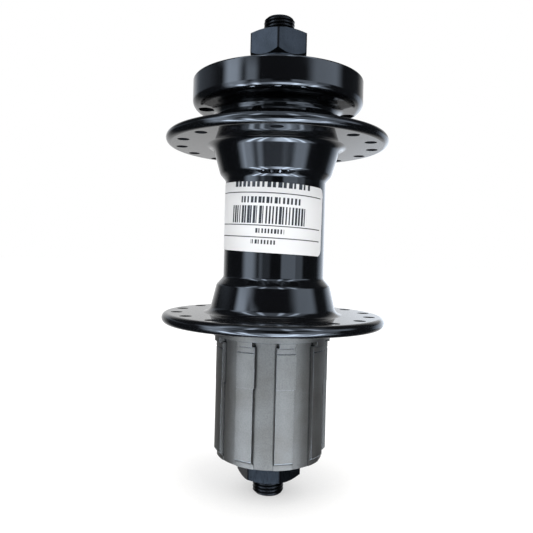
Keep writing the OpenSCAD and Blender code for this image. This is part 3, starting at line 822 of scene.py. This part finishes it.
@dataclass(frozen=True)
class Strokes:
    """A printed row of upright strokes, one in each pitch and of chance widths.

    The pitches are counted over the label's whole width, thin and thick are the least and the
    greatest share of a pitch that a stroke fills, and the row's box is in shares of the label.
    """

    pitches: float
    thin: float
    thick: float
    left: float
    right: float
    low: float
    high: float

    def ink(self, tree: Tree, u: Socket, v: Socket) -> Socket:
        """Draws the row.

        Args:
            tree: the paper's node tree.
            u: place across the label, from 0 to 1.
            v: place up the label, from 0 to 1.

        Returns:
            1 where there is ink, else 0.
        """
        along = add_node(tree, "ShaderNodeMath", {0: u, 1: self.pitches},
                         operation="MULTIPLY").outputs[0]
        number = add_node(tree, "ShaderNodeMath", {0: along}, operation="FLOOR").outputs[0]
        chance = add_node(tree, "ShaderNodeTexWhiteNoise", {"W": number},
                          noise_dimensions="1D").outputs[0]
        width = add_node(tree, "ShaderNodeMath", {
            0: chance, 1: self.thick - self.thin, 2: self.thin},
            operation="MULTIPLY_ADD").outputs[0]
        passed = add_node(tree, "ShaderNodeMath", {0: along}, operation="FRACT").outputs[0]
        stroke = add_node(tree, "ShaderNodeMath", {0: passed, 1: width},
                          operation="LESS_THAN").outputs[0]
        box = inside(tree, (u, self.left, self.right), (v, self.low, self.high))
        return add_node(tree, "ShaderNodeMath", {0: stroke, 1: box},
                        operation="MULTIPLY").outputs[0]


@dataclass
class Label:
    """The plain white paper sticker on the tube, with generic ruled lines and bars, sizes in mm.

    The places of the print are shares of the label.
    """

    radius: float = 15.46
    thickness: float = 0.09
    from_azimuth: float = -84.0
    to_azimuth: float = 64.5
    height: float = 20.1
    middle_z: float = 10.7
    corner_r: float = 1.9
    corner_faces: int = 6
    tilt: float = 2.3
    strips: int = 60
    white: str = "#f0f1f3"
    black: str = "#1c1e22"
    rows: tuple[Strokes, ...] = (
        Strokes(42.0, 0.3, 0.95, 0.21, 0.81, 0.41, 0.66),
        Strokes(26.0, 0.4, 0.8, 0.22, 0.84, 0.925, 1.0),
        Strokes(34.0, 0.4, 0.8, 0.3, 0.75, 0.7, 0.79),
        Strokes(44.0, 0.4, 0.8, 0.42, 0.64, 0.275, 0.34),
        Strokes(44.0, 0.4, 0.8, 0.4, 0.58, 0.12, 0.18))
    rules: Triple = (0.84, 0.377, 0.207)
    rule_width: float = 0.014
    rule_ends: Point = (0.02, 0.965)

    @property
    def length(self) -> float:
        """Length of the flat paper."""
        return self.radius * math.radians(self.to_azimuth - self.from_azimuth)

    def build(self) -> list[Object]:
        """Cuts the sticker flat, bends it round the tube and prints it.

        Returns:
            The sticker, as the only piece.
        """
        bpy.ops.object.select_all(action="DESELECT")
        bpy.ops.mesh.primitive_plane_add(size=MM)
        label = bpy.context.object
        label.name = label.data.name = "blank_label"
        bpy.ops.object.mode_set(mode="EDIT")
        bpy.ops.transform.resize(value=(self.length, self.height, 1))
        bpy.ops.mesh.bevel(affect="VERTICES", offset=self.corner_r * MM,
                           segments=self.corner_faces)
        bpy.ops.object.mode_set(mode="OBJECT")
        self.map_flat(label)
        self.cut_strips(label)
        label.rotation_euler = (math.radians(90), 0, 0)
        select_only(label)
        bpy.ops.object.transform_apply(location=False, rotation=True, scale=False)
        label.rotation_euler = (0, math.radians(self.tilt), 0)
        bpy.ops.object.transform_apply(location=False, rotation=True, scale=False)
        apply_modifier(label, "SOLIDIFY", thickness=self.thickness * MM, offset=-1)
        reach = label.dimensions.x
        apply_modifier(label, "SIMPLE_DEFORM", deform_method="BEND", deform_axis="Z",
                       angle=reach / (self.radius * MM))
        self.seat(label)
        smooth(label, angle=40)
        dress(label, self.paper())
        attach(label, "shell")
        return [label]

    def map_flat(self, label: Object) -> None:
        """Lays the flat outline onto its UV map, so that the print bends with the paper.

        Args:
            label: the flat label.
        """
        layer = label.data.uv_layers.active
        for loop in label.data.loops:
            flat = label.data.vertices[loop.vertex_index].co / MM
            layer.data[loop.index].uv = (flat.x / self.length + 0.5, flat.y / self.height + 0.5)

    def cut_strips(self, label: Object) -> None:
        """Cuts the outline into upright strips, so that it can bend.

        Args:
            label: the flat label.
        """
        edit(label)
        for k in range(1, self.strips):
            bpy.ops.mesh.select_all(action="SELECT")
            bpy.ops.mesh.bisect(plane_co=((k / self.strips - 0.5) * self.length * MM, 0, 0),
                                plane_no=(1, 0, 0), threshold=FINE_GAP)
        bpy.ops.object.mode_set(mode="OBJECT")

    def seat(self, label: Object) -> None:
        """Moves the bent paper onto the tube and turns it to its azimuth.

        Args:
            label: the bent label.
        """
        front = min(v.co.y for v in label.data.vertices)
        shift = -(self.radius + self.thickness) - front / MM
        place(label, (0, shift, self.middle_z), (self.from_azimuth + self.to_azimuth) / 2)

    def paper(self) -> bpy.types.Material:
        """Makes the coated paper with its print: white, faintly shiny.

        Returns:
            The material, which reads the label's UV map.
        """
        material, tree, shader = Finish("coated_label_paper", self.white).start()
        uv = add_node(tree, "ShaderNodeUVMap").outputs[0]
        u, v, _ = add_node(tree, "ShaderNodeSeparateXYZ", {0: uv}).outputs
        marks = [row.ink(tree, u, v) for row in self.rows]
        marks += [inside(tree, (v, low, low + self.rule_width), (u, *self.rule_ends))
                  for low in self.rules]
        ink: Socket | float = 0.0
        for mark in marks:
            ink = add_node(tree, "ShaderNodeMath", {0: ink, 1: mark},
                           operation="MAXIMUM").outputs[0]
        printed = add_node(tree, "ShaderNodeMix", {
            "Factor": ink, COLOUR_A: to_linear(self.white), COLOUR_B: to_linear(self.black)},
            data_type="RGBA").outputs[COLOUR_OUT]
        tree.links.new(printed, shader.inputs["Base Color"])
        return material


@dataclass
class AxleSet:
    """The axle with its nuts, washers, spacers and cones, sizes in mm.

    The thread is screwed with spare turns and cut to length with a spare stub at each end. Its
    phase, and the odd steps of the slug and the drill that finish it, keep the edges of the tools
    off the edges of the thread.
    """

    half_length: float = station("axle", End.HIGH)
    thread_r: float = 4.75
    root_r: float = 4.2
    pitch: float = 1.0
    phase: float = 0.0137
    spare_turns: int = 4
    spare: float = 0.5
    turn_steps: int = 48
    bore_r: float = 2.6
    drill_over: float = 1.0
    drill_steps: int = 61
    chamfer: float = 0.7
    slug_over: float = 0.3
    slug_steps: int = 95
    nut_edge: float = 0.34
    ring_edge: float = 0.18

    def thread(self) -> Object:
        """Screws a zigzag profile round the axle, then trims, chamfers and bores the rod.

        Returns:
            The rod.
        """
        turns = math.ceil(2 * self.half_length / self.pitch) + self.spare_turns
        low = self.phase - turns / 2 * self.pitch
        flat = self.pitch / 8
        zigzag: list[Point] = []
        for k in range(turns):
            z = low + k * self.pitch
            zigzag += [(self.thread_r, z), (self.thread_r, z + flat),
                       (self.root_r, z + self.pitch / 2), (self.root_r, z + self.pitch / 2 + flat)]
        zigzag.append((self.thread_r, low + turns * self.pitch))
        rod = draw_line("axle_finished", zigzag)
        bpy.ops.object.mode_set(mode="OBJECT")
        apply_modifier(rod, "SCREW", axis="Z", angle=math.tau, screw_offset=self.pitch * MM,
                       steps=self.turn_steps, render_steps=self.turn_steps,
                       use_merge_vertices=False)
        edit(rod)
        close_and_orient(COARSE_GAP)
        for end in (1, -1):
            bpy.ops.mesh.select_all(action="SELECT")
            bpy.ops.mesh.bisect(plane_co=(0, 0, end * (self.half_length + self.spare) * MM),
                                plane_no=(0, 0, end), clear_outer=True, use_fill=True,
                                threshold=FINE_GAP)
        close_and_orient(FINE_GAP)
        bpy.ops.object.mode_set(mode="OBJECT")
        combine(rod, self.slug(), Cut.KEEP)
        combine(rod, self.drill(), Cut.REMOVE)
        return rod

    def slug(self) -> Object:
        """Turns the body that the rod is cut to, chamfered at both ends.

        Returns:
            The tool body, which stands out from the thread's crests.
        """
        half, over = self.half_length, self.slug_over
        inner_r, outer_r = self.thread_r - self.chamfer, self.thread_r + over
        return lathe("axle_slug", [
            (0, half), (inner_r, half), (outer_r, half - self.chamfer - over),
            (outer_r, self.chamfer + over - half), (inner_r, -half), (0, -half)], self.slug_steps)

    def drill(self) -> Object:
        """Turns the tool body of the axle's bore."""
        end = self.half_length + self.drill_over
        return lathe("axle_drill", [(0, -end), (self.bore_r, -end), (self.bore_r, end), (0, end)],
                     self.drill_steps)

    def build(self) -> list[Object]:
        """Makes the axle and finishes all that is screwed on it.

        Returns:
            The axle, the nuts, the washers and the spacers.
        """
        oxide = BLACK_OXIDE.build()
        rod = self.thread()
        smooth(rod, angle=25)
        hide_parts("axle")
        dress(rod, BLACK_THREAD.build())
        pieces = [rod]
        for kind, edge in (("locknut", self.nut_edge), ("washer", self.ring_edge),
                           ("spacer", self.ring_edge)):
            for side in ("disc", "drive"):
                piece = dressed_copy(f"{side}_{kind}", edge)
                dress(piece, oxide)
                pieces.append(piece)
        for piece in pieces:
            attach(piece, "axle_set")
        dress_nodes({GROUND_STEEL: ("disc_cone", "drive_cone"), RUBBER: ("disc_cone_boot",)})
        return pieces


@dataclass
class Freehub:
    """The splined freehub body with the ratchet and bearings inside it, sizes in mm."""

    edge: float = 0.14
    ball_rows: tuple[str, ...] = (
        "disc_side_balls", "drive_side_balls", "inner_row_balls", "outer_row_balls")

    def build(self) -> list[Object]:
        """Finishes the body and everything that it hides.

        Returns:
            The body, as the only new piece.
        """
        steel = CAST_STEEL.build()
        body = dressed_copy("freehub_body", self.edge)
        dress(body, steel)
        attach(body, "freehub")
        dress(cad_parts["freehub_core"], steel)
        dress_nodes({
            GROUND_STEEL: ("drive_bearing_cup", "disc_bearing_cup", "pawl_a", "pawl_b", "pawl_c"),
            ZINC_PLATE: ("freehub_fixing_bolt", "race_shim", "pawl_spring"),
            BLACK_ENAMEL: ("disc_dust_cap", "drive_dust_cap"),
            RUBBER: ("freehub_seal",), POLISHED_STEEL: self.ball_rows})
        for row in self.ball_rows:
            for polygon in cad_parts[row].data.polygons:
                polygon.use_smooth = True
        return [body]


@dataclass(frozen=True)
class Lamp:
    """A soft box that faces the hub: angles in degrees, sizes in mm, power in watts."""

    name: str
    azimuth: float
    rise: float = 32
    distance: float = 900
    width: float = 700
    height: float = 500
    power: float = 5.5
    tint: str = "#fbfaf8"

    def hang(self) -> None:
        """Hangs the soft box, which the gloss doesn't mirror."""
        azimuth, rise = math.radians(self.azimuth), math.radians(self.rise)
        light = bpy.data.lights.new(self.name, "AREA")
        light.shape = "RECTANGLE"
        light.size, light.size_y = self.width * MM, self.height * MM
        light.energy = self.power
        light.color = to_linear(self.tint)[:3]
        obj = bpy.data.objects.new(self.name, light)
        bpy.context.scene.collection.objects.link(obj)
        obj.location = Vector((math.sin(azimuth) * math.cos(rise),
                               -math.cos(azimuth) * math.cos(rise),
                               math.sin(rise))) * (self.distance * MM)
        obj.rotation_euler = (-obj.location).to_track_quat("-Z", "Y").to_euler()
        obj.visible_glossy = False


@dataclass(frozen=True)
class Row:
    """A row of upright soft boxes round the hub.

    It takes the place of the rows before it where the height of a direction, which is 1 straight
    up and -1 straight down, goes from start to full.
    """

    start: float
    full: float
    panels: tuple[Panel, ...]


@dataclass
class Studio:
    """The white sweep, the lamps, the soft boxes that the gloss mirrors and the camera.

    Sizes are in mm and angles in degrees. A span holds the two limits between which something sets
    in, measured on a direction's height, or on its depth away from the viewer for the backdrop.
    """

    floor_z: float = station("axle", End.LOW)
    floor_half: float = 4000.0
    floor_grey: str = "#8a8a8a"
    floor_glow: float = 0.89
    floor_shade: float = 0.4
    floor_shade_mm: float = 110.0
    white: str = "#ffffff"
    room: float = 0.04
    fill: float = 0.45
    backdrop: float = 0.75
    backdrop_span: Point = (0.55, 0.95)
    ceiling: float = 0.8
    ceiling_span: Point = (0.84, 0.95)
    box_tint: Triple = (0.83, 0.98, 1.19)
    level_panels: tuple[Panel, ...] = (
        (-70, -42, 3.6, 9), (-33, -25, 1.3, 4), (-24, -8, 0.45, 4),
        (17, 50, 2.0, 3), (50, 68, 1.1, 4), (122, 170, 0.8, 10))
    high_row: Row = Row(0.12, 0.24, (
        (-150, -92, 0.25, 14), (-72, -50, 4.8, 7), (-42, -27, 2.4, 5), (43, 86, 2.1, 9)))
    upper_row: Row = Row(0.32, 0.37, ((-78, -45, 3.8, 13), (42, 87, 2.2, 14)))
    top_row: Row = Row(0.45, 0.6, (
        (-75, 75, 1.2, 10), (-64, -54, 6.0, 4), (-30, -20, 6.0, 4), (14, 24, 6.0, 4),
        (46, 56, 6.0, 4)))
    low_row: Row = Row(-0.14, -0.3, (
        (-72, -44, 3.6, 8), (-66, -61, 1.2, 2), (-37, -26, 2.6, 5), (-24, 22, 0.5, 6),
        (12, 32, 0.6, 5), (34, 61, 3.1, 7)))
    foot_row: Row = Row(-0.43, -0.52, (
        (-75, 75, 3.0, 10), (-60, -50, 14.0, 4), (-36, -28, 14.0, 4), (-4, 40, 8.0, 12),
        (22, 30, 8.0, 4), (50, 58, 14.0, 4)))
    lamps: tuple[Lamp, ...] = (
        Lamp("left_fill", azimuth=-45),
        Lamp("right_fill", azimuth=45),
        Lamp("top_fill", azimuth=20, rise=78, width=600, height=600, power=8, tint="#fffaf4"))
    camera_distance: float = 173.26
    camera_z: float = 0.0
    camera_near: float = 10.0
    sensor: float = 36.0
    lens: float = 37.7
    roll: float = 1.44
    yaw: float = 1.94
    shift: Point = (0.02195, -0.0221)

    def floor(self) -> None:
        """Lays the white floor, which keeps the hub's soft shadow."""
        bpy.ops.object.select_all(action="DESELECT")
        bpy.ops.mesh.primitive_plane_add(size=2 * self.floor_half * MM)
        plane = bpy.context.object
        plane.name = "studio_floor"
        place(plane, (0, 0, self.floor_z))
        dress(plane, self.sweep_paper())
        plane.visible_glossy = False

    def sweep_paper(self) -> bpy.types.Material:
        """Makes the floor's paper: white to the camera, with a painted soft shadow where the hub
        shuts off the sky.

        Returns:
            The material.
        """
        material = bpy.data.materials.new("white_sweep_paper")
        material.use_nodes = True
        tree = material.node_tree
        tree.nodes.remove(tree.nodes["Principled BSDF"])
        matt = add_node(tree, "ShaderNodeBsdfDiffuse", {"Color": to_linear(self.floor_grey)})
        # Painted shadow: the glow dims where the hub shuts off the sky
        openness = add_node(tree, "ShaderNodeAmbientOcclusion", {
            "Distance": self.floor_shade_mm * MM}, samples=OPEN_SKY_RAYS).outputs["AO"]
        strength = add_node(tree, "ShaderNodeMapRange", {
            "Value": openness, "To Min": self.floor_glow * self.floor_shade,
            "To Max": self.floor_glow}).outputs[0]
        glow = add_node(tree, "ShaderNodeEmission", {
            "Color": to_linear(self.white), "Strength": strength})
        seen = add_node(tree, "ShaderNodeLightPath").outputs["Is Camera Ray"]
        lit = add_node(tree, "ShaderNodeMixShader", {0: seen, 2: glow.outputs[0]})
        both = add_node(tree, "ShaderNodeAddShader", {0: matt.outputs[0], 1: lit.outputs[0]})
        tree.links.new(both.outputs[0], tree.nodes["Material Output"].inputs["Surface"])
        return material

    def band(self, tree: Tree, azimuth: Socket, panels: tuple[Panel, ...]) -> Socket:
        """Adds up the brightness of upright soft boxes, above the dim room.

        Args:
            tree: the world's node tree.
            azimuth: azimuth of the direction that is looked up, in degrees.
            panels: the soft boxes.

        Returns:
            The brightness in that direction.
        """
        total: Socket | float = self.room
        for low, high, strength, edge in panels:
            rise = add_node(tree, "ShaderNodeMapRange", {
                "Value": azimuth, "From Min": low - edge, "From Max": low + edge},
                interpolation_type="SMOOTHSTEP").outputs[0]
            fall = add_node(tree, "ShaderNodeMapRange", {
                "Value": azimuth, "From Min": high - edge, "From Max": high + edge,
                "To Min": strength, "To Max": 0.0}, interpolation_type="SMOOTHSTEP").outputs[0]
            total = add_node(tree, "ShaderNodeMath", {0: rise, 1: fall, 2: total},
                             operation="MULTIPLY_ADD").outputs[0]
        return total

    def all_rows(self, tree: Tree, azimuth: Socket, height: Socket) -> Socket:
        """Stacks the rows of soft boxes and closes them with the soft ceiling.

        Args:
            tree: the world's node tree.
            azimuth: azimuth of the direction that is looked up, in degrees.
            height: its height, 1 straight up and -1 straight down.

        Returns:
            The brightness in that direction.
        """
        total = self.band(tree, azimuth, self.level_panels)
        for row in (self.high_row, self.upper_row, self.top_row, self.low_row, self.foot_row):
            total = add_node(tree, "ShaderNodeMix", {
                "Factor": product_of(tree, (height, row.start, row.full, 0.0)),
                NUMBER_A: total, NUMBER_B: self.band(tree, azimuth, row.panels)}
                ).outputs[NUMBER_OUT]
        return add_node(tree, "ShaderNodeMix", {
            "Factor": product_of(tree, (height, *self.ceiling_span, 0.0)),
            NUMBER_A: total, NUMBER_B: self.ceiling}).outputs[NUMBER_OUT]

    def world(self) -> None:
        """Makes the room round the hub.

        The gloss mirrors a dim room with soft boxes before the hub and a pale backdrop behind it,
        all else gets an even soft fill, and the camera sees white.
        """
        world = bpy.data.worlds.new("studio")
        bpy.context.scene.world = world
        world.use_nodes = True
        tree = world.node_tree
        path = add_node(tree, "ShaderNodeLightPath")
        x, y, z = add_node(tree, "ShaderNodeSeparateXYZ", {
            0: add_node(tree, "ShaderNodeTexCoord").outputs["Generated"]}).outputs
        front = add_node(tree, "ShaderNodeMath", {0: y, 1: -1.0}, operation="MULTIPLY").outputs[0]
        turn = add_node(tree, "ShaderNodeMath", {0: x, 1: front}, operation="ARCTAN2").outputs[0]
        azimuth = add_node(tree, "ShaderNodeMath", {0: turn}, operation="DEGREES").outputs[0]
        boxes = add_node(tree, "ShaderNodeVectorMath", {
            0: self.box_tint, "Scale": self.all_rows(tree, azimuth, z)},
            operation="SCALE").outputs[0]
        depth_from, depth_to = self.backdrop_span
        behind = add_node(tree, "ShaderNodeMapRange", {
            "Value": y, "From Min": depth_from, "From Max": depth_to, "To Max": self.backdrop},
            interpolation_type="SMOOTHSTEP").outputs[0]
        mirrored = add_node(tree, "ShaderNodeVectorMath", {0: boxes, 1: behind},
                            operation="ADD").outputs[0]
        lit = add_node(tree, "ShaderNodeMix", {
            "Factor": path.outputs["Is Glossy Ray"],
            COLOUR_A: (self.fill, self.fill, self.fill, 1), COLOUR_B: mirrored},
            data_type="RGBA").outputs[COLOUR_OUT]
        seen = add_node(tree, "ShaderNodeMix", {
            "Factor": path.outputs["Is Camera Ray"], COLOUR_A: lit,
            COLOUR_B: to_linear(self.white)}, data_type="RGBA").outputs[COLOUR_OUT]
        tree.links.new(seen, tree.nodes["Background"].inputs["Color"])

    def camera(self) -> None:
        """Sets the camera where the photograph was taken from."""
        data = bpy.data.cameras.new("camera")
        obj = bpy.data.objects.new("camera", data)
        bpy.context.scene.collection.objects.link(obj)
        data.lens = self.lens
        data.sensor_width = self.sensor
        data.clip_start = self.camera_near * MM
        data.shift_x, data.shift_y = self.shift
        obj.location = (0, -self.camera_distance * MM, self.camera_z * MM)
        obj.rotation_euler = (math.radians(90), math.radians(-self.roll), math.radians(self.yaw))
        bpy.context.scene.camera = obj

    def build(self) -> None:
        """Sets up the whole studio."""
        self.floor()
        self.world()
        for lamp in self.lamps:
            lamp.hang()
        self.camera()
        bpy.context.scene.view_settings.view_transform = "Standard"


def main() -> None:
    """Builds the hub's sub-assemblies and the studio, and reports each piece."""
    logging.basicConfig(level=logging.INFO, format="%(name)s: %(message)s")
    for part in (Shell(), Label(), AxleSet(), Freehub()):
        for piece in part.build():
            LOG.info("%s: %d faces", piece.name, len(piece.data.polygons))
    Studio().build()


if __name__ == "__main__":
    main()
